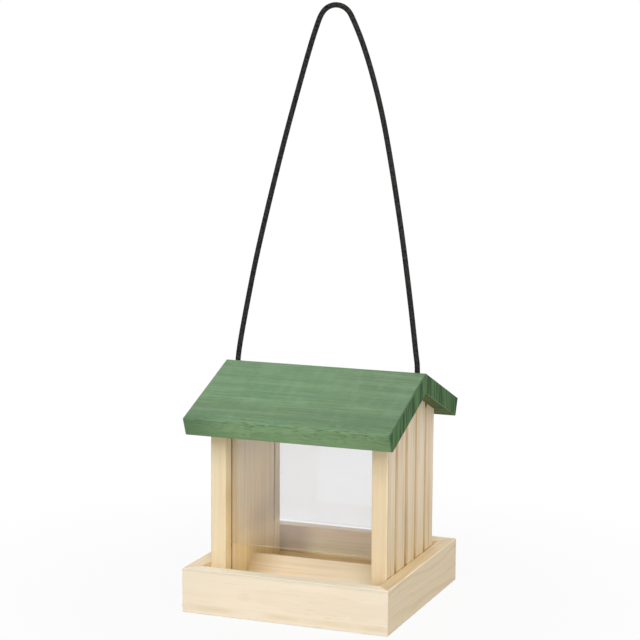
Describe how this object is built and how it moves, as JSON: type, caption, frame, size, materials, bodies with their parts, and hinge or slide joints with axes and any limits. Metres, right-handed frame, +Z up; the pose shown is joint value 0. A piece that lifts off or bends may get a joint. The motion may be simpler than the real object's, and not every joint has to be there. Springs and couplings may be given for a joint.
{
  "type": "bird feeder",
  "caption": "Small hanging bird feeder: pine seed tray, grooved gable walls, clear panes and a green ridge roof that lifts along its cord for filling.",
  "frame": {"origin": "centre of the tray's underside, where the feeder stands", "axes": "+X along the ridge to the right, +Y to the back, +Z up"},
  "size_m": [0.17, 0.17, 0.4724],
  "materials": {
    "pine": "planed, unfinished",
    "green_stained_pine": "matt green stain",
    "clear_acrylic": "clear, polished",
    "zinc_steel": "zinc plated",
    "black_cord": "round braid"
  },
  "bodies": {
    "house": {"floor_board": "pine", "tray_rail_front": "pine", "tray_rail_back": "pine", "tray_rail_left": "pine", "tray_rail_right": "pine", "gable_wall_left": "pine", "gable_wall_right": "pine", "seed_deflector": "pine", "front_pane": "clear_acrylic", "back_pane": "clear_acrylic", "tray_corner_nails": "zinc_steel", "wall_screws_left": "zinc_steel", "wall_screws_right": "zinc_steel", "deflector_screws": "zinc_steel", "pane_stop_pins": "zinc_steel", "cord_end_left": "black_cord", "cord_end_right": "black_cord", "cord_knot_left": "black_cord", "cord_knot_right": "black_cord"},
    "roof": {"roof_board_front": "green_stained_pine", "roof_board_back": "green_stained_pine", "ridge_dowels": "pine", "hanging_cord": "black_cord"}
  },
  "joints": [
    {"name": "roof_lift", "type": "slide", "parent": "house", "child": "roof", "axis": [0, 0, 1], "range_m": [0, 0.12]}
  ]
}
